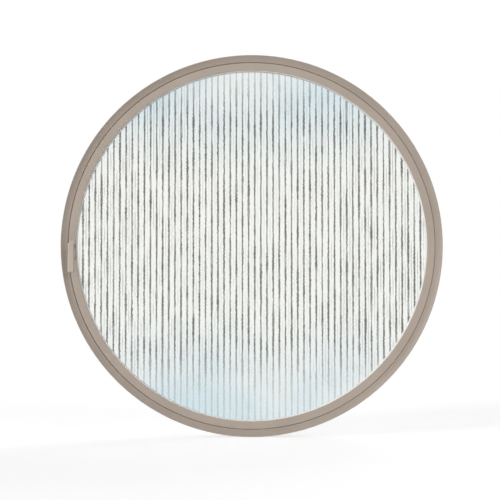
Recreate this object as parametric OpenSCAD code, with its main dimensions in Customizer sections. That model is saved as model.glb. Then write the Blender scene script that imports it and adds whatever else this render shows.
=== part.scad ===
// Round pivot window: a fixed ring, a glazed ring sash that turns about its vertical diameter, and a lever
// with a cam tongue. Seen from the room, +X is right, +Y is outdoors and +Z is up. The origin is the centre
// of the window, on the pivot axis. The left half of the sash swings into the room, the right half outdoors.

/* [Fixed frame] */
// Outside diameter of the fixed frame
frame_d = 1300; // [1000:10:1600]
// Depth of the fixed frame from its room edge to its outdoor edge
frame_depth = 72; // [66:1:84]
// Width of the frame face seen from the room
face_w = 25; // [23:0.5:34]
// Depth of the lip on the room side of the frame
lip_t = 16; // [13:0.5:17]
// Height of the lip above the rebate behind it
lip_h = 9; // [8.5:0.5:11]
// Wall of the frame extrusion
frame_wall = 2.5; // [1.5:0.1:3]
// Rise of the coved face from the sash side to the outer edge
cove_rise = 6; // [1:0.5:8]
// Rounding of the edges that a hand can reach
edge_r = 1.5; // [0.5:0.25:2]
// Rounding of the lip's edge beside the sash
lip_edge_r = 3; // [0.5:0.25:4]

/* [Sash] */
// Width of the sash face seen from the room
sash_face_w = 26.2; // [24:0.2:34]
// Depth from the room edge of the frame back to the sash face
sash_recess = 6; // [4:0.5:7]
// Step from the rim of the sash down to its glazing leg
shoulder_h = 9.4; // [8.5:0.2:10]
// Thickness of the glazing leg
leg_t = 4; // [3:0.25:5]
// Wall of the sash extrusion
sash_wall = 2.5; // [1.5:0.1:3]
// Rounding of the rim of the sash beside the frame
rim_edge_r = 0.75; // [0.5:0.25:2]
// Depth from the outdoor edge of the frame in to the sash
back_recess = 2; // [0.5:0.5:5]

/* [Stops and seals] */
// Wall of the bolted-on stop and of the bolted-on sash lip
bead_wall = 2; // [1.5:0.1:2.5]
// Height of the pressed seals
seal_gap = 4; // [3:0.25:5]
// Width of the foot of a seal
seal_w = 5; // [4:0.25:6]
// Turn from the middle screw to the next one on a stop
stop_screw_step = 30; // [22:1:33]

/* [Glazing] */
// Thickness of the pane from a reed's crest to the flat face
pane_t = 8; // [6:0.5:10]
// Width of one reed
reed_pitch = 21; // [10:0.5:30]
// Height of a reed's crest above its valleys
reed_h = 2; // [1:0.25:3]
// Gap between the edge of the pane and the glazing leg
edge_gap = 4; // [3:0.25:5]
// Thickness of the gasket on the room side
inner_gasket_t = 4; // [3:0.25:5]
// Thickness of the gasket on the outdoor side
outer_gasket_t = 4; // [3:0.25:5]
// Width of the gasket lip that shows past the sash
gasket_lip = 3; // [2:0.25:5]
// Thickness of the gasket fin that lines the inner edge of the sash
gasket_fin_t = 1.6; // [0.8:0.1:1.8]
// Distance from the rounded edge of the sash back to the gasket fin
gasket_fin_inset = 0.5; // [0.5:0.25:4]
// Distance that the glazing bead stands back from the inner edge of the sash
bead_setback = 5; // [0:0.25:5]
// How far the inner face of the glazing bead leans away from the pane
bead_splay = 4; // [0:0.5:5]
// Wall of the glazing bead
glazing_wall = 1.8; // [1.4:0.1:2.4]
// Length of a packing block
block_len = 80; // [60:5:100]

/* [Pivots] */
// Diameter of a pivot pin
pin_d = 10; // [8:0.5:11]
// Wall of the pivot bush
bush_wall = 1.5; // [1:0.1:2]
// Thickness of the bush flange that carries the sash
flange_t = 1; // [0.8:0.1:1.5]
// Half length of a pivot housing along the frame
housing_half_w = 27; // [25:0.5:30]
// Half depth of a pivot housing
housing_half_t = 14; // [12:0.5:15]
// Half length of a pivot block along the sash
pivot_block_half_w = 30; // [28:0.5:32]
// Depth of a pivot block outdoors of the axis
pivot_block_t = 14; // [12:0.5:20]

/* [Handle] */
// Width of the lever
lever_w = 22; // [18:0.5:24]
// Length of the lever below the spindle
lever_len = 93.5; // [80:0.5:130]
// Thickness of the lever
lever_t = 12; // [9:0.5:15]
// Rounding of the lever's front edges
lever_edge_r = 4; // [2:0.25:5]
// Clear space for fingers between the sash face and the lever
lever_gap = 27; // [22:0.5:40]
// Width of the handle rose
rose_w = 22; // [19:0.5:24]
// Thickness of the handle rose
rose_t = 5; // [4:0.25:8]
// Height of the rose above the spindle
rose_top = 17; // [14:0.5:20]
// Diameter of the lever's neck
neck_d = 16; // [13:0.5:17]
// Width across the flats of the square spindle
spindle_w = 7; // [6:0.5:8]
// Width of the cam tongue
tongue_w = 12; // [11:0.5:13]
// Thickness of the cam tongue
tongue_t = 5; // [3:0.25:5]
// Thickness of the keeper plate
keeper_t = 1; // [0.8:0.1:1.5]

/* [Fixings] */
// Diameter of the countersunk screws
screw_d = 4; // [3:0.25:5]
// Diameter of a countersunk head
screw_head_d = 7.6; // [6:0.2:9]
// Depth of a countersunk head below the face that it is driven in
head_sink = 0.15; // [0.1:0.05:0.3]
// Width of a slot for a wall screw
fixing_w = 8.5; // [6.5:0.5:10.5]
// Length of a slot for a wall screw
fixing_len = 20; // [14:1:26]
// Turn from each diagonal of the window to the slots beside it
fixing_turn = 22.5; // [18:0.5:26]
// Length of a drain slot
drain_len = 30; // [20:1:40]
// Width of a drain slot
drain_w = 5; // [4:0.5:6]

/* [Clearances] */
// Least gap between the sash and the frame as it swings
swing_gap = 0.7; // [0.5:0.1:2]
// Least gap between the sash lip and the frame rebate as it swings
lip_gap = 0.8; // [0.5:0.1:1.5]
// Gap between a seal and the face that closes on it
seal_clear = 0.3; // [0.2:0.05:0.5]
// Gap between a pivot housing and the rim of the sash
housing_clear = 0.6; // [0.4:0.1:1]
// Gap between the bush flange and the pivot block
thrust_clear = 0.1; // [0.05:0.05:0.2]
// Running gap around a pin or a neck
fit_clear = 0.05; // [0.03:0.01:0.1]
// Gap around the cam tongue
tongue_clear = 0.5; // [0.3:0.1:0.8]
// Gap around a part that passes a cut-out
cutout_clear = 1.5; // [1:0.25:2]
// Gap between the bush flange and the back of the sash hollow as it turns
axis_clear = 1.45; // [1:0.05:3]
// Distance from the swept corner of the sash lip to the end of the stop
break_clear = 12; // [8:0.5:20]
// Gap between the tip of the cam tongue and the frame rebate
tip_clear = 1.5; // [1:0.1:3]

/* [Hidden] */
$fn = 96;
TAUPE = "#b0a398";
PALE_GREY = "#d3d2cc";
DARK_GREY = "#4b4b4a";
STEEL = "#a9abad";
BRONZE = "#9c7b4a";
ACETAL = "#3a3c3f";
GLASS = [0.82, 0.87, 0.86, 0.45];

// Steps in a rounded corner, in the coved face and round a whole ring
corner_steps = 4;
cove_steps = 8;
ring_fn = 256;
// How far a cutter runs past the face it opens
cut = 1;
// Turn of the weld that closes a rolled ring, clear of every hole
weld_turn = 10;

// Pivot pin and bush
pin_r = pin_d / 2;
bush_r = pin_r + fit_clear + bush_wall;
flange_reach = 2;
flange_r = bush_r + flange_reach;

// Depths along Y, from the pivot axis through the sash hollow and the tongue in it to the room
tongue_screw_head_t = 1.5;
tube_y = -flange_r - axis_clear;
tongue_back_y = tube_y - sash_wall - tongue_clear - tongue_screw_head_t;
tongue_y = tongue_back_y - tongue_t;
lip_y = tongue_y - tongue_clear - keeper_t;
room_y = lip_y - lip_t;
back_y = room_y + frame_depth;
sash_y = room_y + sash_recess;
sash_back_y = back_y - back_recess;
stop_y = tube_y + seal_gap;
hook_y = lip_y + seal_gap;
pane_y = tube_y + inner_gasket_t;
pane_back_y = pane_y + pane_t;
bead_y = pane_back_y + outer_gasket_t;

// Radii from the centre of the window
outer_r = frame_d / 2;
lip_r = outer_r - face_w;
rebate_r = lip_r + lip_h;
sash_r = sqrt(pow(lip_r - swing_gap, 2) - pow(sash_y, 2) + pow(lip_y, 2));
leg_r = sash_r - shoulder_h;
seat_r = leg_r - leg_t;
pane_r = seat_r - edge_gap;
sight_r = sash_r - sash_face_w;
bead_sight_r = sight_r + bead_setback;
stop_r = sqrt(pow(leg_r, 2) + pow(sash_back_y, 2)) + swing_gap;
hook_r = sqrt(pow(rebate_r - lip_gap, 2) - pow(sash_back_y, 2));
cove_r = (pow(face_w, 2) + pow(cove_rise, 2)) / (2 * cove_rise);
pivot_break = sash_back_y + break_clear;
gasket_inset = 1;
gasket_tip_t = 1.3;
gasket_fin_y = sash_y + edge_r + gasket_fin_inset;
seal_inset = 0.5;
seal_foot_t = 1.3;

// Clip between the glazing bead and the leg
clip_h = 1.4;
clip_w = 4;
clip_inset = 6;
clip_clear = 0.2;

// Countersunk screws
screw_r = screw_d / 2;
screw_head_r = screw_head_d / 2;
screw_bite = 6;
// Metal left in the glazing leg beyond the tip of a screw
tip_wall = 1;
stop_screw_turns = [for (i = [-2:2]) i * stop_screw_step];
stop_screw_y = (stop_y + back_y) / 2;
lip_screw_y = (tube_y + bead_y + clip_inset) / 2;

// Turns of the packing blocks that carry the pane and of those that centre it
setting_turns = [240, 300];
location_turns = [0, 60, 120, 180];

// Wall fixings and drains
fixing_y = (lip_y + back_y) / 2;
fixing_turns = [for (diagonal = [45, 135, 225, 315], side = [-1, 1]) diagonal + side * fixing_turn];
drain_turn = 12;
drain_r = (rebate_r + outer_r) / 2;

// Pivots, as heights above the centre of the window
housing_z = sash_r + housing_clear;
flange_z = housing_z - flange_t;
pivot_block_z = flange_z - thrust_clear;
pin_end_gap = 1.5;
pin_top = rebate_r - pin_end_gap;
screw_inset = 7;
housing_screw_x = housing_half_w - screw_inset;
housing_screw_y = housing_half_t - screw_inset;
pivot_block_screw_x = pivot_block_half_w - screw_inset;
pivot_block_screw_y = [tube_y + screw_inset, pivot_block_t - screw_inset];
pivot_block_bite = pivot_block_z - seat_r - tip_wall;

// Handle
spindle_x = -(sight_r + sash_r) / 2;
lever_back_y = sash_y - lever_gap;
lever_front_y = lever_back_y - lever_t;
rose_y = sash_y - rose_t;
neck_r = neck_d / 2;
neck_flare = 2;
neck_end_gap = 1;
neck_end_y = sash_y - neck_end_gap;
lever_end_r = 5;
lever_back_edge_r = 1.5;
socket_depth = 18;
spindle_front_y = neck_end_y - socket_depth;
grub_inset = 6;
grub_y = rose_y - grub_inset;
grub_r = 2;
grub_recess = 1;

// Cam tongue and keeper
tongue_len = rebate_r - tip_clear + spindle_x;
tongue_hub_r = 8;
tongue_screw_r = 2;
tongue_screw_head_r = 4.5;
tongue_screw_len = 12;
keeper_inset = 0.5;
keeper_in_r = lip_r + keeper_inset;
keeper_out_r = rebate_r - keeper_inset;
keeper_below = 24;
keeper_above = 36;
keeper_screw_z = [-18, 30];
keeper_screw_r = 1.25;
keeper_head_r = 2.2;
keeper_screw_len = 7;
keeper_screw_ring_r = (keeper_in_r + keeper_out_r) / 2;

// Rose, long enough to cover the cut-out that the tongue goes in through
rose_screw_pitch = 9;
rose_screw_z = [for (i = [0, 1]) -tongue_len - cutout_clear - 2 * screw_head_r - i * rose_screw_pitch];
rose_screw_len = 11;
rose_bottom = screw_inset - rose_screw_z[1];

// Lengths worked out for whole-window cutters
reach = 2 * outer_r;

function unit(v) = v / norm(v);
function round_corner(before, at, after) =
    let (
        p = [at[0], at[1]],
        u = unit([before[0], before[1]] - p),
        v = unit([after[0], after[1]] - p),
        half = acos(u * v) / 2,
        centre = p + unit(u + v) * at[2] / sin(half),
        start = p + u * at[2] / tan(half) - centre,
        end = p + v * at[2] / tan(half) - centre,
        a = atan2(start[1], start[0]),
        turn = (atan2(end[1], end[0]) - a + 540) % 360 - 180
    )
    [for (k = [0:corner_steps])
        centre + at[2] * [cos(a + turn * k / corner_steps), sin(a + turn * k / corner_steps)]];
// Outline through corners given as [x, y, radius]; a radius of 0 stays sharp
function outline(c) =
    [for (i = [0:len(c) - 1])
        each (c[i][2] > 0 ? round_corner(c[(i + len(c) - 1) % len(c)], c[i], c[(i + 1) % len(c)])
            : [[c[i][0], c[i][1]]])];
// Depth of the coved face at a radius
function cove_y(r) = room_y + cove_rise - cove_r + sqrt(pow(cove_r, 2) - pow(r - lip_r, 2));

// A section drawn as [radius, depth], turned into a whole ring
module ring() {
    rotate([0, -weld_turn, 0]) rotate([-90, 0, 0]) rotate_extrude($fn = ring_fn) children();
}

// The part of a ring on one side, short of the pivots: -1 is left and 1 is right
module half_ring(side) {
    intersection() {
        ring() children();
        translate([side * (pivot_break + reach / 2), 0, 0]) cube(reach, center = true);
    }
}

// Places a child at a turn anticlockwise from +X, with its Z pointing away from the centre
module at_turn(turn, radius) {
    rotate([0, 90 - turn, 0]) translate([0, 0, radius]) children();
}

module at_top_and_bottom() {
    for (side = [0, 1]) mirror([0, 0, side]) children();
}

// Countersunk screw that points up +Z from a face at the origin; a mouth opens its hole out through that face
module screw(length, r, head_r, mouth) {
    top = mouth > 0 ? [[0, -mouth], [head_r, -mouth]] : [[0, head_sink]];
    rotate_extrude() polygon(concat(top, [
        [head_r, head_sink], [r, head_sink + head_r - r], [r, length], [0, length]]));
}

module stadium(length, width) {
    square([length - width, width], center = true);
    for (end = [-1, 1]) translate([end * (length - width) / 2, 0]) circle(d = width);
}

module box_section(r0, y0, r1, y1) {
    translate([r0, y0]) square([r1 - r0, y1 - y0]);
}

// Sets of screws, which also cut their own holes when given a mouth

module stop_screws(mouth = 0) {
    for (turn = stop_screw_turns)
        at_turn(180 + turn, stop_r) translate([0, stop_screw_y, 0])
            screw(rebate_r - stop_r + screw_bite, screw_r, screw_head_r, mouth);
}

module lip_screws(mouth = 0) {
    for (turn = stop_screw_turns)
        at_turn(turn, hook_r) translate([0, lip_screw_y, 0]) mirror([0, 0, 1])
            screw(hook_r - seat_r - tip_wall, screw_r, screw_head_r, mouth);
}

module housing_screws(mouth = 0) {
    at_top_and_bottom()
        for (x = [-1, 1], y = [-1, 1])
            translate([x * housing_screw_x, y * housing_screw_y, housing_z])
                screw(rebate_r - housing_z + screw_bite, screw_r, screw_head_r, mouth);
}

module block_screws(mouth = 0) {
    at_top_and_bottom()
        for (x = [-1, 1], y = pivot_block_screw_y)
            translate([x * pivot_block_screw_x, y, pivot_block_z]) mirror([0, 0, 1])
                screw(pivot_block_bite, screw_r, screw_head_r, mouth);
}

module keeper_fixings(mouth = 0) {
    for (z = keeper_screw_z)
        translate([-keeper_screw_ring_r, lip_y + keeper_t, z]) rotate([90, 0, 0])
            screw(keeper_screw_len, keeper_screw_r, keeper_head_r, mouth);
}

module rose_fixings(mouth = 0) {
    for (z = rose_screw_z)
        translate([spindle_x, rose_y, z]) rotate([-90, 0, 0])
            screw(rose_screw_len, screw_r, screw_head_r, mouth);
}

// Sections of the rings

module frame_section() {
    cove_in = lip_r + 2 * lip_edge_r;
    cove_out = outer_r - 2 * edge_r;
    cove = [for (k = [0:cove_steps]) cove_in + (cove_out - cove_in) * k / cove_steps];
    hollow_in = lip_r + frame_wall;
    hollow_out = outer_r - frame_wall;
    difference() {
        polygon(outline(concat(
            [[lip_r, lip_y, 0], [lip_r, cove_y(lip_r), lip_edge_r]],
            [for (r = cove) [r, cove_y(r), 0]],
            [[outer_r, room_y, edge_r], [outer_r, back_y, edge_r], [rebate_r, back_y, edge_r],
            [rebate_r, lip_y, 0]])));
        polygon(concat(
            [[hollow_in, cove_y(hollow_in) + frame_wall]],
            [for (r = cove) if (r > hollow_in && r < hollow_out) [r, cove_y(r) + frame_wall]],
            [[hollow_out, cove_y(hollow_out) + frame_wall], [hollow_out, back_y - frame_wall],
            [rebate_r + frame_wall, back_y - frame_wall], [rebate_r + frame_wall, lip_y - frame_wall],
            [hollow_in, lip_y - frame_wall]]));
    }
}

module sash_section() {
    difference() {
        polygon(outline([
            [sight_r, sash_y, edge_r], [sash_r, sash_y, rim_edge_r], [sash_r, tube_y, 0], [leg_r, tube_y, 0],
            [leg_r, sash_back_y, 0], [seat_r, sash_back_y, 0], [seat_r, tube_y, 0], [sight_r, tube_y, 0]]));
        box_section(sight_r + sash_wall, sash_y + sash_wall, sash_r - sash_wall, tube_y - sash_wall);
        box_section(seat_r - cut, bead_y + clip_inset, seat_r + clip_h + clip_clear,
            bead_y + clip_inset + clip_w + 2 * clip_clear);
    }
}

// Seal with a flat foot and a round bulb, standing towards the room from its foot
module seal_section(r, foot_y, height) {
    bulb_r = (height - seal_clear - seal_foot_t / 2) / 2;
    translate([r, foot_y - seal_foot_t]) square([seal_w, seal_foot_t]);
    translate([r + seal_w / 2, foot_y - height + seal_clear + bulb_r]) circle(bulb_r);
}

// Pieces of the fixed frame

module outer_frame() {
    color(TAUPE) difference() {
        ring() frame_section();
        for (turn = fixing_turns)
            at_turn(turn, rebate_r - cut) translate([0, fixing_y, 0])
                rotate([0, 0, 90]) linear_extrude(outer_r - rebate_r + 2 * cut) stadium(fixing_len, fixing_w);
        for (side = [-1, 1])
            at_turn(270 + side * drain_turn, drain_r) translate([0, back_y + cut, 0])
                rotate([90, 0, 0]) linear_extrude(frame_wall + 2 * cut) stadium(drain_len, drain_w);
        stop_screws(cut);
        housing_screws(cut);
        keeper_fixings(cut);
    }
}

module exterior_stop() {
    color(TAUPE) difference() {
        half_ring(-1) difference() {
            polygon(outline([
                [stop_r, stop_y, 0], [rebate_r, stop_y, 0], [rebate_r, back_y, 0], [stop_r, back_y, edge_r]]));
            box_section(stop_r + bead_wall, stop_y + bead_wall, rebate_r - bead_wall, back_y - bead_wall);
        }
        stop_screws(cut);
    }
}

module exterior_stop_screws() {
    color(STEEL) stop_screws();
}

module exterior_seal() {
    color(DARK_GREY) half_ring(-1) seal_section(stop_r + seal_inset, stop_y, seal_gap);
}

module interior_seal() {
    color(DARK_GREY) half_ring(1) mirror([0, 1]) seal_section(hook_r - edge_r - seal_w, -lip_y, seal_gap);
}

// Housing that fills the rebate behind the lip and holds a bush
module pivot_housing() {
    difference() {
        intersection() {
            translate([-housing_half_w, -housing_half_t, housing_z])
                cube([2 * housing_half_w, 2 * housing_half_t, rebate_r - housing_z]);
            rotate([90, 0, 0]) cylinder(r = rebate_r, h = reach, center = true, $fn = ring_fn);
        }
        translate([0, 0, housing_z - cut]) cylinder(r = bush_r, h = rebate_r);
        housing_screws(cut);
    }
}

module pivot_bush() {
    difference() {
        union() {
            translate([0, 0, flange_z]) cylinder(r = flange_r, h = flange_t);
            translate([0, 0, flange_z]) cylinder(r = bush_r, h = pin_top - flange_z);
        }
        translate([0, 0, flange_z - cut]) cylinder(r = pin_r + fit_clear, h = rebate_r - flange_z);
    }
}

module top_pivot_housing() {
    color(STEEL) pivot_housing();
}

module bottom_pivot_housing() {
    color(STEEL) mirror([0, 0, 1]) pivot_housing();
}

module top_pivot_bush() {
    color(BRONZE) pivot_bush();
}

module bottom_pivot_bush() {
    color(BRONZE) mirror([0, 0, 1]) pivot_bush();
}

module pivot_housing_screws() {
    color(STEEL) housing_screws();
}

module keeper_plate() {
    color(STEEL) difference() {
        intersection() {
            ring() box_section(keeper_in_r, lip_y, keeper_out_r, lip_y + keeper_t);
            translate([-outer_r, lip_y - cut, -keeper_below])
                cube([face_w, keeper_t + 2 * cut, keeper_below + keeper_above]);
        }
        keeper_fixings(cut);
    }
}

module keeper_screws() {
    color(STEEL) keeper_fixings();
}

// Pieces of the sash

module sash_ring() {
    color(TAUPE) difference() {
        ring() sash_section();
        lip_screws(cut);
        block_screws(cut);
        rose_fixings(cut);
        translate([spindle_x - tongue_w / 2 - cutout_clear, sash_y - cut, -tongue_len - cutout_clear])
            cube([tongue_w + 2 * cutout_clear, sash_wall + 2 * cut, tongue_len + tongue_hub_r + 2 * cutout_clear]);
        translate([-sash_r - cut, tongue_y - cutout_clear / 2, -tongue_w / 2 - cutout_clear])
            cube([2 * sash_wall + cut, tongue_t + cutout_clear, tongue_w / 2 + tongue_len + cutout_clear]);
    }
}

module sash_lip() {
    color(TAUPE) difference() {
        half_ring(1) difference() {
            polygon(outline([
                [leg_r, tube_y, 0], [sash_r, tube_y, 0], [sash_r, hook_y, 0], [hook_r, hook_y, edge_r],
                [hook_r, sash_back_y, edge_r], [leg_r, sash_back_y, 0]]));
            polygon([
                [leg_r + bead_wall, tube_y + bead_wall], [sash_r + bead_wall, tube_y + bead_wall],
                [sash_r + bead_wall, hook_y + bead_wall], [hook_r - bead_wall, hook_y + bead_wall],
                [hook_r - bead_wall, sash_back_y - bead_wall], [leg_r + bead_wall, sash_back_y - bead_wall]]);
        }
        lip_screws(cut);
    }
}

module sash_lip_screws() {
    color(STEEL) lip_screws();
}

module glazing_bead() {
    color(TAUPE) ring() difference() {
        union() {
            polygon(outline([
                [bead_sight_r, bead_y, 0], [seat_r, bead_y, 0], [seat_r, sash_back_y, 0],
                [bead_sight_r + bead_splay, sash_back_y, edge_r]]));
            box_section(seat_r - cut, bead_y + clip_inset + clip_clear, seat_r + clip_h,
                bead_y + clip_inset + clip_clear + clip_w);
        }
        polygon([
            [bead_sight_r + 2 * glazing_wall, bead_y + glazing_wall],
            [seat_r - glazing_wall, bead_y + glazing_wall],
            [seat_r - glazing_wall, sash_back_y - 2 * glazing_wall]]);
    }
}

// Gasket with a tapered lip that shows past the sash and a fin up the inner edge of the sash
module inner_gasket() {
    color(PALE_GREY) ring() polygon([
        [pane_r - gasket_inset, tube_y], [sight_r, tube_y], [sight_r, gasket_fin_y],
        [sight_r - gasket_fin_t, gasket_fin_y], [sight_r - gasket_fin_t, tube_y],
        [sight_r - gasket_lip, pane_y - gasket_tip_t], [sight_r - gasket_lip, pane_y],
        [pane_r - gasket_inset, pane_y]]);
}

// Gasket with a tapered lip that shows past the glazing bead
module outer_gasket() {
    color(PALE_GREY) ring() polygon([
        [pane_r - gasket_inset, bead_y], [bead_sight_r, bead_y],
        [bead_sight_r - gasket_lip, pane_back_y + gasket_tip_t], [bead_sight_r - gasket_lip, pane_back_y],
        [pane_r - gasket_inset, pane_back_y]]);
}

// Pane with convex vertical reeds on its room face and a flat outdoor face
module reeded_pane() {
    reed_r = (pow(reed_pitch / 2, 2) + pow(reed_h, 2)) / (2 * reed_h);
    reeds_each_side = ceil(pane_r / reed_pitch);
    color(GLASS) intersection() {
        translate([0, 0, -pane_r]) linear_extrude(2 * pane_r) intersection() {
            translate([-pane_r, pane_y]) square([2 * pane_r, pane_t]);
            for (i = [-reeds_each_side:reeds_each_side])
                translate([i * reed_pitch, pane_y + reed_r]) circle(reed_r);
        }
        rotate([90, 0, 0]) cylinder(r = pane_r, h = reach, center = true, $fn = ring_fn);
    }
}

// Packing block between the edge of the pane and the glazing leg
module packing_block(turn) {
    intersection() {
        ring() box_section(pane_r, pane_y, seat_r, pane_back_y);
        at_turn(turn, pane_r) cube([block_len, reach, pane_r], center = true);
    }
}

module setting_blocks() {
    color(ACETAL) for (turn = setting_turns) packing_block(turn);
}

module location_blocks() {
    color(ACETAL) for (turn = location_turns) packing_block(turn);
}

// Block seated on the glazing leg, which holds a pin
module pivot_block() {
    difference() {
        translate([-pivot_block_half_w, tube_y, seat_r])
            cube([2 * pivot_block_half_w, pivot_block_t - tube_y, pivot_block_z - seat_r]);
        rotate([90, 0, 0]) cylinder(r = leg_r, h = reach, center = true, $fn = ring_fn);
        translate([0, 0, seat_r]) cylinder(r = pin_r, h = pivot_block_z);
        block_screws(cut);
    }
}

module pivot_pin() {
    translate([0, 0, leg_r]) cylinder(r = pin_r, h = pin_top - leg_r);
}

module top_pivot_block() {
    color(STEEL) pivot_block();
}

module bottom_pivot_block() {
    color(STEEL) mirror([0, 0, 1]) pivot_block();
}

module top_pivot_pin() {
    color(STEEL) pivot_pin();
}

module bottom_pivot_pin() {
    color(STEEL) mirror([0, 0, 1]) pivot_pin();
}

module pivot_block_screws() {
    color(STEEL) block_screws();
}

module handle_rose() {
    color(TAUPE) difference() {
        translate([spindle_x, sash_y, (rose_top - rose_bottom) / 2]) rotate([90, 0, 0])
            linear_extrude(rose_t) rotate([0, 0, 90]) stadium(rose_top + rose_bottom, rose_w);
        translate([spindle_x, sash_y + cut, 0]) rotate([90, 0, 0])
            cylinder(r = neck_r + fit_clear, h = rose_t + 2 * cut);
        rose_fixings(cut);
    }
}

module rose_screws() {
    color(STEEL) rose_fixings();
}

// Pieces of the handle

// Flat bar with a round top, eased all round at the front
module lever_bar() {
    half_w = lever_w / 2;
    intersection() {
        translate([spindle_x, lever_back_y, 0]) rotate([90, 0, 0]) linear_extrude(lever_t) {
            circle(half_w);
            polygon(outline([
                [-half_w, 0, 0], [half_w, 0, 0], [half_w, -lever_len, lever_end_r],
                [-half_w, -lever_len, lever_end_r]]));
        }
        translate([spindle_x, 0, -lever_len]) linear_extrude(lever_len + half_w)
            polygon(outline([
                [-half_w, lever_back_y, lever_back_edge_r], [-half_w, lever_front_y, lever_edge_r],
                [half_w, lever_front_y, lever_edge_r], [half_w, lever_back_y, lever_back_edge_r]]));
        translate([spindle_x - half_w, 0, 0]) rotate([90, 0, 90]) linear_extrude(lever_w)
            polygon(outline([
                [lever_back_y, half_w, lever_back_edge_r], [lever_front_y, half_w, lever_edge_r],
                [lever_front_y, -lever_len, lever_edge_r], [lever_back_y, -lever_len, lever_back_edge_r]]));
    }
}

module handle_lever() {
    color(TAUPE) difference() {
        union() {
            lever_bar();
            translate([spindle_x, 0, 0]) rotate([-90, 0, 0]) rotate_extrude() polygon([
                [0, lever_back_y - cut], [neck_r + neck_flare, lever_back_y - cut],
                [neck_r + neck_flare, lever_back_y], [neck_r, lever_back_y + neck_flare],
                [neck_r, neck_end_y], [0, neck_end_y]]);
        }
        translate([spindle_x - spindle_w / 2, spindle_front_y, -spindle_w / 2])
            cube([spindle_w, socket_depth + cut, spindle_w]);
        translate([spindle_x, grub_y, -neck_r - cut]) cylinder(r = grub_r, h = neck_r);
    }
}

module spindle() {
    color(STEEL) difference() {
        translate([spindle_x - spindle_w / 2, spindle_front_y, -spindle_w / 2])
            cube([spindle_w, tongue_back_y - spindle_front_y, spindle_w]);
        translate([spindle_x, tongue_back_y - tongue_screw_len, 0]) rotate([-90, 0, 0])
            cylinder(r = tongue_screw_r, h = tongue_screw_len + cut);
    }
}

module cam_tongue() {
    color(STEEL) difference() {
        translate([spindle_x, tongue_back_y, 0]) rotate([90, 0, 0]) linear_extrude(tongue_t) {
            circle(tongue_hub_r);
            translate([-tongue_w / 2, 0]) square([tongue_w, tongue_len - tongue_w / 2]);
            translate([0, tongue_len - tongue_w / 2]) circle(d = tongue_w);
        }
        translate([spindle_x - spindle_w / 2, tongue_y - cut, -spindle_w / 2])
            cube([spindle_w, tongue_t + 2 * cut, spindle_w]);
    }
}

module tongue_screw() {
    color(STEEL) translate([spindle_x, tongue_back_y, 0]) rotate([-90, 0, 0]) union() {
        cylinder(r = tongue_screw_head_r, h = tongue_screw_head_t);
        translate([0, 0, -tongue_screw_len]) cylinder(r = tongue_screw_r, h = tongue_screw_len);
    }
}

module lever_grub_screw() {
    color(STEEL) translate([spindle_x, grub_y, -neck_r + grub_recess])
        cylinder(r = grub_r, h = neck_r - grub_recess - spindle_w / 2);
}

outer_frame();
exterior_stop();
exterior_stop_screws();
exterior_seal();
interior_seal();
top_pivot_housing();
bottom_pivot_housing();
top_pivot_bush();
bottom_pivot_bush();
pivot_housing_screws();
keeper_plate();
keeper_screws();
sash_ring();
sash_lip();
sash_lip_screws();
glazing_bead();
inner_gasket();
outer_gasket();
reeded_pane();
setting_blocks();
location_blocks();
top_pivot_block();
bottom_pivot_block();
top_pivot_pin();
bottom_pivot_pin();
pivot_block_screws();
handle_rose();
rose_screws();
handle_lever();
spindle();
cam_tongue();
tongue_screw();
lever_grub_screw();
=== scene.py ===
# Round pivot window in metres: X is right and +Y outdoors as seen from the room, Z is up.
# The origin is the centre of the window on its pivot axis.
import math

import bmesh
import bpy
from mathutils import Matrix, Vector


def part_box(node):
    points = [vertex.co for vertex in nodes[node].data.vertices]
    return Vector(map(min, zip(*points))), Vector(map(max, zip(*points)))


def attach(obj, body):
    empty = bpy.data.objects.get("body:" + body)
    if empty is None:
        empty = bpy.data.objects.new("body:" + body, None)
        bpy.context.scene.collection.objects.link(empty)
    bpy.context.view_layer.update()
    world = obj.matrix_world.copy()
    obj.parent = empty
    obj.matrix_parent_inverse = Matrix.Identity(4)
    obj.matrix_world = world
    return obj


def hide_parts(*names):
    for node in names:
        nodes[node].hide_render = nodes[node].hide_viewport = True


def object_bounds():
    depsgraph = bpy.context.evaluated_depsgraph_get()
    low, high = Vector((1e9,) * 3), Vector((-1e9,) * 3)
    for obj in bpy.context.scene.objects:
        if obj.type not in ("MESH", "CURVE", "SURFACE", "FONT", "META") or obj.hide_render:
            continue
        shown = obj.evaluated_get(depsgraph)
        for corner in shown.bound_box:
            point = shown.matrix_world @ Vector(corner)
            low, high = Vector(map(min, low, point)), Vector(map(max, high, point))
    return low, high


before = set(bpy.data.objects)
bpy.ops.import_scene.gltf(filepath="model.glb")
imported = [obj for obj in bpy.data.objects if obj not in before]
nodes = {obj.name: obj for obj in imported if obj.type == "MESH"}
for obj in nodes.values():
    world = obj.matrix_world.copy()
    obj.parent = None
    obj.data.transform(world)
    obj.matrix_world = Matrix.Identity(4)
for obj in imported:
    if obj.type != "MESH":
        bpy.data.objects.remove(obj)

cad_low, cad_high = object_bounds()


# Fixed frame: a hollow aluminium extrusion rolled to a ring, welded once and powder coated in taupe.
# Wall screws hold it through the slots in its rebate, and its coved room face is what shows.
TAUPE = (0.422, 0.349, 0.293, 1)
# The frame's colour below is the sash's taupe made darker, as painted shade on the frame's coved face.
SHADED_FRAME_TAUPE = (0.36, 0.3, 0.25, 1)
RUB_AND_HIGHLIGHT_TAUPE = (0.62, 0.57, 0.52, 1)
PEEL_DEPTH = 0.00002


def add(tree, kind, inputs=None, **settings):
    """One shader node, with each input set to a value or wired to a socket."""
    made = tree.nodes.new("ShaderNode" + kind)
    for key, value in settings.items():
        setattr(made, key, value)
    for key, value in (inputs or {}).items():
        if isinstance(value, bpy.types.NodeSocket):
            tree.links.new(value, made.inputs[key])
        else:
            made.inputs[key].default_value = value
    return made


def calc(tree, operation, a, b=0.0):
    return add(tree, "Math", {0: a, 1: b}, operation=operation).outputs[0]


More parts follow.
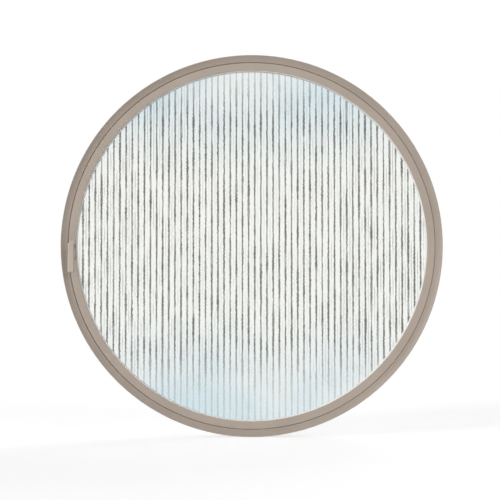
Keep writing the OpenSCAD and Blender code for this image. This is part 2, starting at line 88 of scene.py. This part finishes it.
def blend_colours(tree, share, a, b):
    return add(tree, "Mix", {0: share, 6: a, 7: b}, data_type="RGBA").outputs[2]


def scale_colour(tree, colour, by):
    return add(tree, "VectorMath", {0: colour, 3: by}, operation="SCALE").outputs[0]


def remap(tree, value, span, to, curve="SMOOTHSTEP"):
    """Brings a value from one span to another, and holds it at the ends."""
    return add(tree, "MapRange", {0: value, 1: span[0], 2: span[1], 3: to[0], 4: to[1]},
               interpolation_type=curve).outputs[0]


def grain(tree, scale, detail, stretch=(1, 1, 1), at=None):
    """Noise from 0 to 1 that is fixed to the piece, stretched along its axes."""
    if at is None:
        at = add(tree, "TexCoord").outputs["Object"]
    place = add(tree, "Mapping", {"Vector": at, "Scale": stretch}).outputs[0]
    return add(tree, "TexNoise", {"Vector": place, "Scale": scale, "Detail": detail}).outputs[0]


def uneven(tree, to, scale, detail, span=(0.3, 0.7)):
    """Grain brought to a low and a high value."""
    return remap(tree, grain(tree, scale, detail), span, to)


def effect_group(name, inputs, outputs):
    """An empty node group, with the sockets that go into it and come out of it."""
    group = bpy.data.node_groups.new(name, "ShaderNodeTree")
    for label, kind, value in inputs:
        socket = group.interface.new_socket(label, in_out="INPUT", socket_type="NodeSocket" + kind)
        socket.default_value = value
    for label, kind in outputs:
        group.interface.new_socket(label, in_out="OUTPUT", socket_type="NodeSocket" + kind)
    return group, group.nodes.new("NodeGroupInput").outputs, group.nodes.new("NodeGroupOutput").inputs


def use_group(tree, group, inputs):
    return add(tree, "Group", inputs, node_tree=group).outputs


def empty_material(name):
    material = bpy.data.materials.new(name)
    material.use_nodes = True
    material.node_tree.nodes.clear()
    return material, material.node_tree


def make_finish(name, group, inputs, relief, surface):
    """Material whose colour, roughness and fine relief come from a finish group."""
    material, tree = empty_material(name)
    effect = use_group(tree, group, inputs)
    bump = add(tree, "Bump", {"Strength": 1.0, "Distance": relief, "Height": effect["Height"]})
    shader = add(tree, "BsdfPrincipled", {
        "Base Color": effect["Color"], "Roughness": effect["Roughness"], "Normal": bump.outputs[0],
        **surface})
    add(tree, "OutputMaterial", {"Surface": shader.outputs[0]})
    return material


def wear_finish(material, *names):
    for name in names:
        nodes[name].material_slots[0].material = material


# Edge wear is a thin pale rub where a hand or a cloth meets an outside edge; where it is set high, as on the
# handle, it is also a painted highlight.
edge_wear, wear_in, wear_out = effect_group(
    "Edge wear", [("Width", "Float", 0.001), ("Patchiness", "Float", 0.5)], [("Mask", "Float")])
eased = add(edge_wear, "Bevel", {"Radius": wear_in["Width"]}, samples=4).outputs[0]
true_normal = add(edge_wear, "NewGeometry").outputs["Normal"]
facing = add(edge_wear, "VectorMath", {0: eased, 1: true_normal}, operation="DOT_PRODUCT").outputs["Value"]
on_edge = remap(edge_wear, facing, span=(0.99, 0.82), to=(0.0, 1.0))
patches = uneven(edge_wear, to=(0.0, 1.0), scale=70.0, detail=3.0, span=(0.35, 0.65))
kept = calc(edge_wear, "SUBTRACT", 1.0, calc(edge_wear, "MULTIPLY", wear_in["Patchiness"], patches))
edge_wear.links.new(calc(edge_wear, "MULTIPLY", on_edge, kept), wear_out["Mask"])

# Powder coat is a baked film with a fine orange peel, faint mottling and pigment specks.
FINISH_OUTPUTS = [("Color", "Color"), ("Roughness", "Float"), ("Height", "Float")]
powder_coat, coat_in, coat_out = effect_group(
    "Powder coat", [("Colour", "Color", TAUPE), ("Gloss", "Float", 0.0), ("Edge", "Float", 0.2)],
    FINISH_OUTPUTS)
mottle = uneven(powder_coat, to=(0.965, 1.035), scale=9.0, detail=4.0)
specks = uneven(powder_coat, to=(0.96, 1.04), scale=2600.0, detail=1.0)
toned = scale_colour(powder_coat, coat_in["Colour"], calc(powder_coat, "MULTIPLY", mottle, specks))
edge_rub_and_highlight = calc(powder_coat, "MULTIPLY", coat_in["Edge"],
           use_group(powder_coat, edge_wear, {"Width": 0.0012, "Patchiness": 0.6})["Mask"])
powder_coat.links.new(blend_colours(powder_coat, edge_rub_and_highlight, toned, RUB_AND_HIGHLIGHT_TAUPE), coat_out["Color"])
dull = uneven(powder_coat, to=(0.46, 0.56), scale=30.0, detail=3.0)
powder_coat.links.new(calc(powder_coat, "SUBTRACT", dull, coat_in["Gloss"]), coat_out["Roughness"])
powder_coat.links.new(grain(powder_coat, scale=850.0, detail=2.0), coat_out["Height"])

frame_coat = make_finish(
    "frame_coat", powder_coat, {"Colour": SHADED_FRAME_TAUPE, "Gloss": 0.0, "Edge": 0.16},
    relief=PEEL_DEPTH, surface={"IOR": 1.5})
wear_finish(frame_coat, "outer_frame")


# Outdoor stop: a hollow aluminium bead round the left half, coated with the frame.
# It is screwed into the rebate, and the left half of the sash closes against the seal on its room edge.
wear_finish(frame_coat, "exterior_stop")


# Weather seals: extruded dark rubber with a flat foot and a round bulb, matt with a faint grey bloom.
# One is pushed onto the stop and the other behind the frame's lip.
SEAL_GREY = (0.032, 0.032, 0.033, 1)
rubber, rubber_in, rubber_out = effect_group(
    "Extruded rubber",
    [("Colour", "Color", SEAL_GREY), ("Bloom", "Color", (0.1, 0.1, 0.1, 1)), ("Dust", "Float", 0.3)],
    FINISH_OUTPUTS)
bloom = uneven(rubber, to=(0.0, 1.0), scale=45.0, detail=5.0, span=(0.42, 0.72))
bloomed = calc(rubber, "MULTIPLY", bloom, rubber_in["Dust"])
rubber.links.new(
    blend_colours(rubber, bloomed, rubber_in["Colour"], rubber_in["Bloom"]), rubber_out["Color"])
rubber.links.new(uneven(rubber, to=(0.62, 0.8), scale=120.0, detail=3.0), rubber_out["Roughness"])
rubber.links.new(grain(rubber, scale=1500.0, detail=3.0), rubber_out["Height"])

dark_seal = make_finish(
    "dark_seal", rubber, {"Colour": SEAL_GREY, "Bloom": (0.11, 0.11, 0.105, 1), "Dust": 0.35},
    relief=0.00004, surface={"Specular IOR Level": 0.35})
wear_finish(dark_seal, "exterior_seal", "interior_seal")


# Pivot housings and bushes: plated steel blocks, screwed into the rebate at top and bottom.
# Each holds a sintered bronze bush, whose flange carries the sash.
PLATED_STEEL = (0.58, 0.58, 0.57, 1)
BARE_EDGE = (0.8, 0.79, 0.77, 1)
BARE_EDGE_SHARE = 0.35
worked_metal, metal_in, metal_out = effect_group(
    "Worked metal",
    [("Colour", "Color", PLATED_STEEL), ("Stain", "Color", (0.3, 0.29, 0.27, 1)), ("Polish", "Float", 0.3),
     ("Pores", "Float", 0.0)],
    FINISH_OUTPUTS)
drawn = grain(worked_metal, scale=60.0, detail=4.0, stretch=(40, 3, 3))
stain = uneven(worked_metal, to=(0.0, 0.5), scale=38.0, detail=5.0, span=(0.48, 0.75))
pores = uneven(worked_metal, to=(0.0, 1.0), scale=1900.0, detail=1.0, span=(0.6, 0.7))
pitted = calc(worked_metal, "MULTIPLY", pores, metal_in["Pores"])
soiled = calc(worked_metal, "MAXIMUM", stain, pitted)
bright = use_group(worked_metal, edge_wear, {"Width": 0.0006, "Patchiness": 0.3})["Mask"]
bare = calc(worked_metal, "MULTIPLY", bright, BARE_EDGE_SHARE)
plain = blend_colours(worked_metal, soiled, metal_in["Colour"], metal_in["Stain"])
worked_metal.links.new(blend_colours(worked_metal, bare, plain, BARE_EDGE), metal_out["Color"])
streaks = remap(worked_metal, drawn, span=(0.3, 0.7), to=(-0.06, 0.08))
worked_metal.links.new(calc(worked_metal, "ADD", metal_in["Polish"], streaks), metal_out["Roughness"])
worked_metal.links.new(calc(worked_metal, "SUBTRACT", drawn, pitted), metal_out["Height"])

steel = make_finish(
    "steel", worked_metal, {"Colour": PLATED_STEEL, "Polish": 0.34},
    relief=0.00002, surface={"Metallic": 1.0})
bronze = make_finish(
    "bronze", worked_metal,
    {"Colour": (0.52, 0.33, 0.15, 1), "Stain": (0.2, 0.12, 0.06, 1), "Polish": 0.4, "Pores": 0.7},
    relief=0.00003, surface={"Metallic": 1.0})
wear_finish(steel, "top_pivot_housing", "bottom_pivot_housing")
wear_finish(bronze, "top_pivot_bush", "bottom_pivot_bush")


# Keeper: a small curved wear plate of plated steel behind the frame's lip at nine o'clock.
# Two small countersunk screws hold it, and the cam tongue slides over it when the lever turns.
wear_finish(steel, "keeper_plate")


# Sash: a hollow aluminium extrusion rolled to a ring with a glazing leg behind it, coated like the frame.
# An L-shaped lip is screwed to the leg round the right half and closes behind the frame.
sash_coat = make_finish(
    "sash_coat", powder_coat, {"Colour": TAUPE, "Gloss": 0.02, "Edge": 0.14},
    relief=PEEL_DEPTH, surface={"IOR": 1.5})
wear_finish(sash_coat, "sash_ring", "sash_lip")


# Packing blocks: dark moulded plastic strips pushed between the edge of the pane and the glazing leg.
# Two low ones carry the weight of the glass, and four more keep it centred.
BLOCK_GREY = (0.045, 0.048, 0.052, 1)
moulded, moulded_in, moulded_out = effect_group(
    "Moulded plastic", [("Colour", "Color", BLOCK_GREY)], FINISH_OUTPUTS)
sheen = uneven(moulded, to=(0.9, 1.12), scale=25.0, detail=4.0)
moulded.links.new(scale_colour(moulded, moulded_in["Colour"], sheen), moulded_out["Color"])
moulded.links.new(uneven(moulded, to=(0.42, 0.55), scale=300.0, detail=2.0), moulded_out["Roughness"])
moulded.links.new(grain(moulded, scale=1100.0, detail=2.0), moulded_out["Height"])
packing = make_finish(
    "packing_plastic", moulded, {"Colour": BLOCK_GREY}, relief=0.00005, surface={"IOR": 1.48})
wear_finish(packing, "setting_blocks", "location_blocks")


# Pane: 8 mm rolled glass, flat outdoors and pressed into upright convex reeds on the room side.
# Uneven dark lines are painted in the creases as painted shade for the light that the reeds bend aside,
# and finer painted shade lines follow some of the crests.
PITCH = 0.021
REED_RISE = 0.002
STEPS_PER_REED = 12
PANE_ROWS = 28
OUTERMOST_STRIP = 0.99998
pane_low, pane_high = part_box("reeded_pane")
pane_r = pane_high.x
reed_r = ((PITCH / 2) ** 2 + REED_RISE ** 2) / (2 * REED_RISE)


def reed_face(x):
    """Depth of the room face at a place across the pane."""
    across = (x / PITCH + 0.5) % 1.0 * PITCH - PITCH / 2
    return pane_low.y + reed_r - math.sqrt(reed_r ** 2 - across ** 2)


def pane_mesh():
    """Upright strips from edge to edge, closed all round by the ground edge of the glass."""
    bm = bmesh.new()
    step = PITCH / STEPS_PER_REED
    count = int(pane_r / step)
    outermost = pane_r * OUTERMOST_STRIP
    places = [-outermost] + [i * step for i in range(-count, count + 1)] + [outermost]
    front, back = [], []
    for x in places:
        half = math.sqrt(pane_r ** 2 - x ** 2)
        heights = [half * (2 * k / PANE_ROWS - 1) for k in range(PANE_ROWS + 1)]
        front.append([bm.verts.new((x, reed_face(x), z)) for z in heights])
        back.append([bm.verts.new((x, pane_high.y, z)) for z in heights])
    for i in range(len(places) - 1):
        for k in range(PANE_ROWS):
            bm.faces.new((front[i][k], front[i + 1][k], front[i + 1][k + 1], front[i][k + 1]))
            bm.faces.new((back[i][k], back[i][k + 1], back[i + 1][k + 1], back[i + 1][k]))
        bm.faces.new((front[i][0], back[i][0], back[i + 1][0], front[i + 1][0]))
        bm.faces.new((front[i][-1], front[i + 1][-1], back[i + 1][-1], back[i][-1]))
    for k in range(PANE_ROWS):
        bm.faces.new((front[0][k], front[0][k + 1], back[0][k + 1], back[0][k]))
        bm.faces.new((front[-1][k], back[-1][k], back[-1][k + 1], front[-1][k + 1]))
    return bm


def new_piece(name, bm, material, smooth_below):
    """Turns a drawn mesh into an object, shaded smooth where its faces meet at less than an angle."""
    bmesh.ops.recalc_face_normals(bm, faces=bm.faces)
    mesh = bpy.data.meshes.new(name)
    bm.to_mesh(mesh)
    bm.free()
    mesh.shade_smooth()
    mesh.set_sharp_from_angle(angle=math.radians(smooth_below))
    mesh.materials.append(material)
    piece = bpy.data.objects.new(name, mesh)
    bpy.context.scene.collection.objects.link(piece)
    return piece


LINE_BEND = 0.0007
LINE_RAGGED = 0.0014
LINE_WIDTH = (0.12, 0.28)
LINE_CORE = 0.45
LINE_DEPTH = (0.76, 1.0)
LINE_MIDDLE = 0.05
LINE_FADE = (0.38, 0.6)
LINE_FADED = 0.4
CREASE_STEP = 5.3
CREST_STEP = 3.1
CREST_WIDTH = (0.37, 0.46)
CREST_DEPTH = (0.0, 0.62)
SKY_REFLECTION_HEIGHT = (0.2, 0.55)
FLAT_GLASS = (0.97, 0.985, 0.98, 1)
REEDS_BEFORE = -0.001

reeds, reeds_in, reeds_out = effect_group(
    "Painted reed shade",
    [("Crest", "Color", (0.9, 0.89, 0.81, 1)), ("Sky reflection", "Color", (0.43, 0.61, 0.69, 1)),
     ("Crease shade", "Color", (0.003, 0.003, 0.002, 1)), ("Pitch", "Float", PITCH)],
    [("Color", "Color"), ("Height", "Float")])
glass_place = add(reeds, "SeparateXYZ", {0: add(reeds, "TexCoord").outputs["Object"]}).outputs


def reed_grain(detail, stretch, at=None):
    return grain(reeds, 1.0, detail, stretch, at)


def own_grain(number, step, detail, stretch):
    """Grain that runs on its own course along each numbered line."""
    shifted = calc(reeds, "MULTIPLY", number, step)
    return reed_grain(detail, stretch, add(reeds, "CombineXYZ", {0: shifted, 2: glass_place["Z"]}).outputs[0])


# Place across the pane, counted in reeds, with the small wander of a pressed line.
bend_grain = reed_grain(detail=3.0, stretch=(60, 1, 14))
bend = remap(reeds, bend_grain, span=(0.3, 0.7), to=(-LINE_BEND, LINE_BEND), curve="LINEAR")
ragged_grain = reed_grain(detail=3.0, stretch=(90, 1, 170))
ragged = remap(reeds, ragged_grain, span=(0.3, 0.7), to=(-LINE_RAGGED, LINE_RAGGED), curve="LINEAR")
swayed = calc(reeds, "ADD", glass_place["X"], calc(reeds, "ADD", bend, ragged))
reed_count = calc(reeds, "DIVIDE", swayed, reeds_in["Pitch"])
offset = calc(reeds, "ABSOLUTE", calc(reeds, "SUBTRACT", calc(reeds, "FRACT", reed_count), 0.5))

# Painted shade lines in the creases, each with its own width and depth along the way.
crease_no = calc(reeds, "FLOOR", reed_count)
width_grain = own_grain(crease_no, CREASE_STEP, detail=5.0, stretch=(1, 1, 9))
width = remap(reeds, width_grain, span=(0.32, 0.68), to=LINE_WIDTH, curve="LINEAR")
core = calc(reeds, "MULTIPLY", width, LINE_CORE)
crease_painted_shade = remap(reeds, offset, span=(width, core), to=(0.0, 1.0))
depth_grain = own_grain(crease_no, CREASE_STEP, detail=5.0, stretch=(1.7, 1, 12))
depth = remap(reeds, depth_grain, span=(0.28, 0.54), to=LINE_DEPTH)

# Finer broken painted shade lines on the crests, which come out more towards the sides.
crest_no = calc(reeds, "FLOOR", calc(reeds, "ADD", reed_count, 0.5))
crest_grain = own_grain(crest_no, CREST_STEP, detail=4.0, stretch=(1.3, 1, 10))
crest_seen = remap(reeds, crest_grain, span=(0.38, 0.64), to=CREST_DEPTH)
sideways = remap(reeds, calc(reeds, "ABSOLUTE", glass_place["X"]), span=(0.1, 0.5), to=(0.45, 1.0))
crest_line = remap(reeds, offset, span=CREST_WIDTH, to=(0.0, 1.0))
faint = calc(reeds, "MULTIPLY", crest_line, calc(reeds, "MULTIPLY", crest_seen, sideways))

# All painted shade lines are speckled and grow weak towards the top and the bottom.
speckle_grain = reed_grain(detail=2.0, stretch=(420, 1, 140))
speckle = remap(reeds, speckle_grain, span=(0.35, 0.65), to=(0.92, 1.0))
strongest = calc(reeds, "MAXIMUM", calc(reeds, "MULTIPLY", crease_painted_shade, depth), faint)
from_middle = calc(reeds, "ABSOLUTE", calc(reeds, "SUBTRACT", glass_place["Z"], LINE_MIDDLE))
softer = remap(reeds, from_middle, span=LINE_FADE, to=(1.0, LINE_FADED))
dark = calc(reeds, "MULTIPLY", calc(reeds, "MULTIPLY", strongest, speckle), softer)

# A cool blue painted reflection of the sky is laid on the clear glass towards the top and the bottom, and the
# flat face has no lines.
reflection_share = remap(reeds, calc(reeds, "ABSOLUTE", glass_place["Z"]), span=SKY_REFLECTION_HEIGHT, to=(0.15, 1.0))
reflection_patches = uneven(reeds, to=(0.35, 1.0), scale=2.6, detail=3.0, span=(0.25, 0.7))
clear = blend_colours(reeds, calc(reeds, "MULTIPLY", reflection_share, reflection_patches), reeds_in["Crest"], reeds_in["Sky reflection"])
reeded = blend_colours(reeds, dark, clear, reeds_in["Crease shade"])
room_face = calc(reeds, "LESS_THAN", glass_place["Y"], REEDS_BEFORE)
reeds.links.new(blend_colours(reeds, room_face, FLAT_GLASS, reeded), reeds_out["Color"])
reeds.links.new(reed_grain(detail=2.0, stretch=(160, 160, 28)), reeds_out["Height"])

reeded_glass, glass_tree = empty_material("reeded_glass")
pressed = use_group(glass_tree, reeds, {"Pitch": PITCH})
ripple = add(glass_tree, "Bump", {"Strength": 1.0, "Distance": 0.00008, "Height": pressed["Height"]})
glass_shader = add(glass_tree, "BsdfPrincipled", {
    "Base Color": pressed["Color"], "Normal": ripple.outputs[0], "Roughness": 0.02, "IOR": 1.5,
    "Transmission Weight": 1.0})
add(glass_tree, "OutputMaterial", {"Surface": glass_shader.outputs[0]})

pane = new_piece("reeded_pane_glass", pane_mesh(), reeded_glass, smooth_below=25)
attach(pane, "sash")
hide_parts("reeded_pane")


# Gaskets: pale extruded rubber on both faces of the pane, cut to length and joined into rings.
# The room one has a tapered lip and a thin fin up the inner edge of the sash, which shows as a pale line.
PALE_GREY = (0.87, 0.86, 0.835, 1)
pale_gasket = make_finish(
    "pale_gasket", rubber, {"Colour": PALE_GREY, "Bloom": (0.8, 0.79, 0.765, 1), "Dust": 0.5},
    relief=0.00003, surface={"Specular IOR Level": 0.4})
wear_finish(pale_gasket, "inner_gasket", "outer_gasket")


# Glazing bead: a hollow aluminium ring, rolled and coated like the sash.
# It clips into a groove in the glazing leg outdoors and holds the pane in.
wear_finish(sash_coat, "glazing_bead")


# Pivot blocks and pins: plated steel blocks, hollowed to sit on the glazing leg and screwed to it.
# The one at the top and the one at the bottom each hold a ground steel pin that turns in a bush.
pin_steel = make_finish(
    "pin_steel", worked_metal,
    {"Colour": (0.64, 0.64, 0.64, 1), "Stain": (0.45, 0.44, 0.42, 1), "Polish": 0.2},
    relief=0.00001, surface={"Metallic": 1.0})
wear_finish(steel, "top_pivot_block", "bottom_pivot_block")
wear_finish(pin_steel, "top_pivot_pin", "bottom_pivot_pin")


# Screws: plated countersunk steel screws with a six-lobed recess and a rolled thread.
# They are driven flush wherever a piece is bolted on, and each set takes its places, lengths and heads
# from the solids that it stands for.
SCREW_SIDES = 36
THREAD_PITCH = 0.0007
THREAD_DEPTH = 0.00035
RINGS_PER_THREAD = 3
LOBES = 6
LOBE_DEPTH = 0.13
SAME_POINT = 1e-6
SAME_END = 1e-5


def loose_solids(name):
    """Corner points of each separate solid in a CAD node, in a fixed order."""
    bm = bmesh.new()
    bm.from_mesh(nodes[name].data)
    bmesh.ops.remove_doubles(bm, verts=bm.verts, dist=SAME_POINT)
    seen, solids = set(), []
    for first in bm.verts:
        if first in seen:
            continue
        seen.add(first)
        reached = [first]
        for vert in reached:
            for edge in vert.link_edges:
                other = edge.other_vert(vert)
                if other not in seen:
                    seen.add(other)
                    reached.append(other)
        solids.append([vert.co.copy() for vert in reached])
    bm.free()
    return solids


def screw_rings(length, shank_r, head_r):
    """Radius and depth of each ring from the recess to the point, with its share of lobes and thread."""
    recess_r, recess_depth, recess_chamfer = head_r * 0.42, head_r * 0.36, 0.00005
    recess_floor_r, recess_rim_r = recess_r * 0.9, recess_r * 1.06
    land_r, land_chamfer = head_r * 0.93, head_r * 0.05
    cone_end = head_r * 1.05 - shank_r
    thread_start, thread_end = head_r * 1.3 - shank_r, length - shank_r * 0.6
    point_r = shank_r * 0.45
    rings = [(recess_floor_r, recess_depth, 1, 0), (recess_r, recess_chamfer, 1, 0), (recess_rim_r, 0, 1, 0)]
    rings += [(land_r, 0, 0, 0), (head_r, land_chamfer, 0, 0), (shank_r, cone_end, 0, 0)]
    count = int((thread_end - thread_start) / (THREAD_PITCH / RINGS_PER_THREAD))
    for k in range(count + 1):
        rings.append((shank_r, thread_start + (thread_end - thread_start) * k / count, 0, 1))
    rings.append((point_r, length, 0, 0))
    return rings


def draw_screw(bm, place, length, shank_r, head_r):
    """One screw whose head lies at the place and whose point runs along its Z."""
    loops = []
    for r, z, lobes, thread in screw_rings(length, shank_r, head_r):
        loop = []
        for k in range(SCREW_SIDES):
            turn = 2 * math.pi * k / SCREW_SIDES
            wave = abs((z / THREAD_PITCH - k / SCREW_SIDES) % 1.0 * 2 - 1)
            here = r * (1 + LOBE_DEPTH * lobes * math.cos(LOBES * turn)) - thread * wave * THREAD_DEPTH
            loop.append(bm.verts.new(place @ Vector((here * math.cos(turn), here * math.sin(turn), z))))
        loops.append(loop)
    for a, b in zip(loops, loops[1:]):
        for k in range(SCREW_SIDES):
            after = (k + 1) % SCREW_SIDES
            bm.faces.new((a[k], a[after], b[after], b[k]))
    bm.faces.new(loops[0])
    bm.faces.new(loops[-1])


def screw_set(name, body, lies_along, finish=steel):
    """Replaces a CAD set of screws; lies_along gives a screw's line from its middle."""
    bm = bmesh.new()
    for points in loose_solids(name):
        middle = sum(points, Vector()) / len(points)
        line = lies_along(middle).normalized()
        heights = [(p - middle).dot(line) for p in points]
        radii = [((p - middle) - line * h).length for p, h in zip(points, heights)]
        low, high = min(heights), max(heights)
        head_low = max(r for r, h in zip(radii, heights) if h < low + SAME_END)
        head_high = max(r for r, h in zip(radii, heights) if h > high - SAME_END)
        if head_high > head_low:
            line, low, high = -line, -high, -low
        axis_points = [p - line * (p - middle).dot(line) for p in points]
        foot = Vector([(min(c) + max(c)) / 2 for c in zip(*axis_points)])
        place = Matrix.Translation(foot + line * low) @ line.to_track_quat("Z", "Y").to_matrix().to_4x4()
        draw_screw(bm, place, high - low, min(head_low, head_high), max(head_low, head_high))
    piece = new_piece(name + "_driven", bm, finish, smooth_below=35)
    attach(piece, body)
    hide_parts(name)


def out_from_centre(middle):
    return Vector((middle.x, 0, middle.z))


def upright(middle):
    return Vector((0, 0, 1))


def front_to_back(middle):
    return Vector((0, 1, 0))


screw_set("exterior_stop_screws", "frame", out_from_centre)
screw_set("pivot_housing_screws", "frame", upright)
screw_set("keeper_screws", "frame", front_to_back)
screw_set("sash_lip_screws", "sash", out_from_centre)
screw_set("pivot_block_screws", "sash", upright)


# Handle: a cast lever with a round top on a flat rose, coated like the sash but a little lighter.
# Two screws, coated with the rose, hold it to the sash. A square spindle through the sash turns the cam
# tongue, and a grub screw under the neck holds the lever on it.
HANDLE_TAUPE = (0.5, 0.424, 0.36, 1)
# The high Edge value makes the pale edge rub partly wear and partly a painted highlight along the lever's
# edges.
handle_coat = make_finish(
    "handle_coat", powder_coat, {"Colour": HANDLE_TAUPE, "Gloss": 0.08, "Edge": 0.5},
    relief=PEEL_DEPTH, surface={"IOR": 1.5})
wear_finish(handle_coat, "handle_rose", "handle_lever")
screw_set("rose_screws", "sash", front_to_back, handle_coat)
wear_finish(steel, "spindle", "cam_tongue", "tongue_screw", "lever_grub_screw")


# Studio: a plain pale floor that keeps the shadow, in a white surround.
# Three far, soft lights stand in for daylight from the left, a weak fill from high in front, and one
# behind the window for its outdoor side.
FLOOR_HALF = 15.0
FLOOR_GAP = 0.0005
FLOOR_BRIGHT = 0.8
FLOOR_SEEN = 0.35
FLOOR_GLOW = 0.728
AMBIENT = 0.26
WHITE = (1, 1, 1, 1)


def seen_directly(tree):
    """1 for what the camera, a reflection or the glass sees, and 0 for light on its way."""
    path = add(tree, "LightPath").outputs
    either = calc(tree, "MAXIMUM", path["Is Camera Ray"], path["Is Glossy Ray"])
    return calc(tree, "MAXIMUM", either, path["Is Transmission Ray"])


floor_paint, floor_tree = empty_material("floor_paint")
floor_seen = seen_directly(floor_tree)
floor_shader = add(floor_tree, "BsdfPrincipled", {
    "Base Color": remap(
        floor_tree, floor_seen, span=(0.0, 1.0), to=(FLOOR_BRIGHT, FLOOR_SEEN), curve="LINEAR"),
    "Roughness": 1.0, "Specular IOR Level": 0.0, "Emission Color": WHITE,
    "Emission Strength": calc(floor_tree, "MULTIPLY", floor_seen, FLOOR_GLOW)})
add(floor_tree, "OutputMaterial", {"Surface": floor_shader.outputs[0]})

floor_bm = bmesh.new()
bmesh.ops.create_grid(floor_bm, x_segments=2, y_segments=2, size=FLOOR_HALF,
                      matrix=Matrix.Translation((0, 0, cad_low.z - FLOOR_GAP)))
floor = new_piece("floor", floor_bm, floor_paint, smooth_below=30)

world = bpy.data.worlds.new("studio")
bpy.context.scene.world = world
world.use_nodes = True
sky = world.node_tree
surround = sky.nodes["Background"]
surround.inputs["Color"].default_value = WHITE
glow = remap(sky, seen_directly(sky), span=(0.0, 1.0), to=(AMBIENT, 1.0), curve="LINEAR")
sky.links.new(glow, surround.inputs["Strength"])


def add_sun(name, place, power, spread):
    """A soft far light that shines from the side of a place on the middle of the window."""
    sun = bpy.data.objects.new(name, bpy.data.lights.new(name, "SUN"))
    sun.data.energy = power
    sun.data.angle = math.radians(spread)
    sun.rotation_euler = (-Vector(place)).to_track_quat("-Z", "Y").to_euler()
    bpy.context.scene.collection.objects.link(sun)


add_sun("daylight", place=(-6.2, -5.4, 2.7), power=2.08, spread=16)
add_sun("fill", place=(2.8, -4.4, 3.4), power=0.46, spread=24)
add_sun("back", place=(1.5, 3.4, 2.4), power=1.4, spread=30)

CAMERA_DISTANCE = 5.0
CAMERA_TILT = math.radians(-2.0)
camera = bpy.data.objects.new("camera", bpy.data.cameras.new("camera"))
camera.location = (0, -CAMERA_DISTANCE * math.cos(CAMERA_TILT), CAMERA_DISTANCE * math.sin(CAMERA_TILT))
camera.rotation_euler = (math.pi / 2 - CAMERA_TILT, 0, 0)
camera.data.sensor_width = 36.0
camera.data.lens = 105.1
camera.data.shift_x = -0.0034
camera.data.shift_y = -0.009
bpy.context.scene.collection.objects.link(camera)
bpy.context.scene.camera = camera
bpy.context.scene.view_settings.view_transform = "Standard"
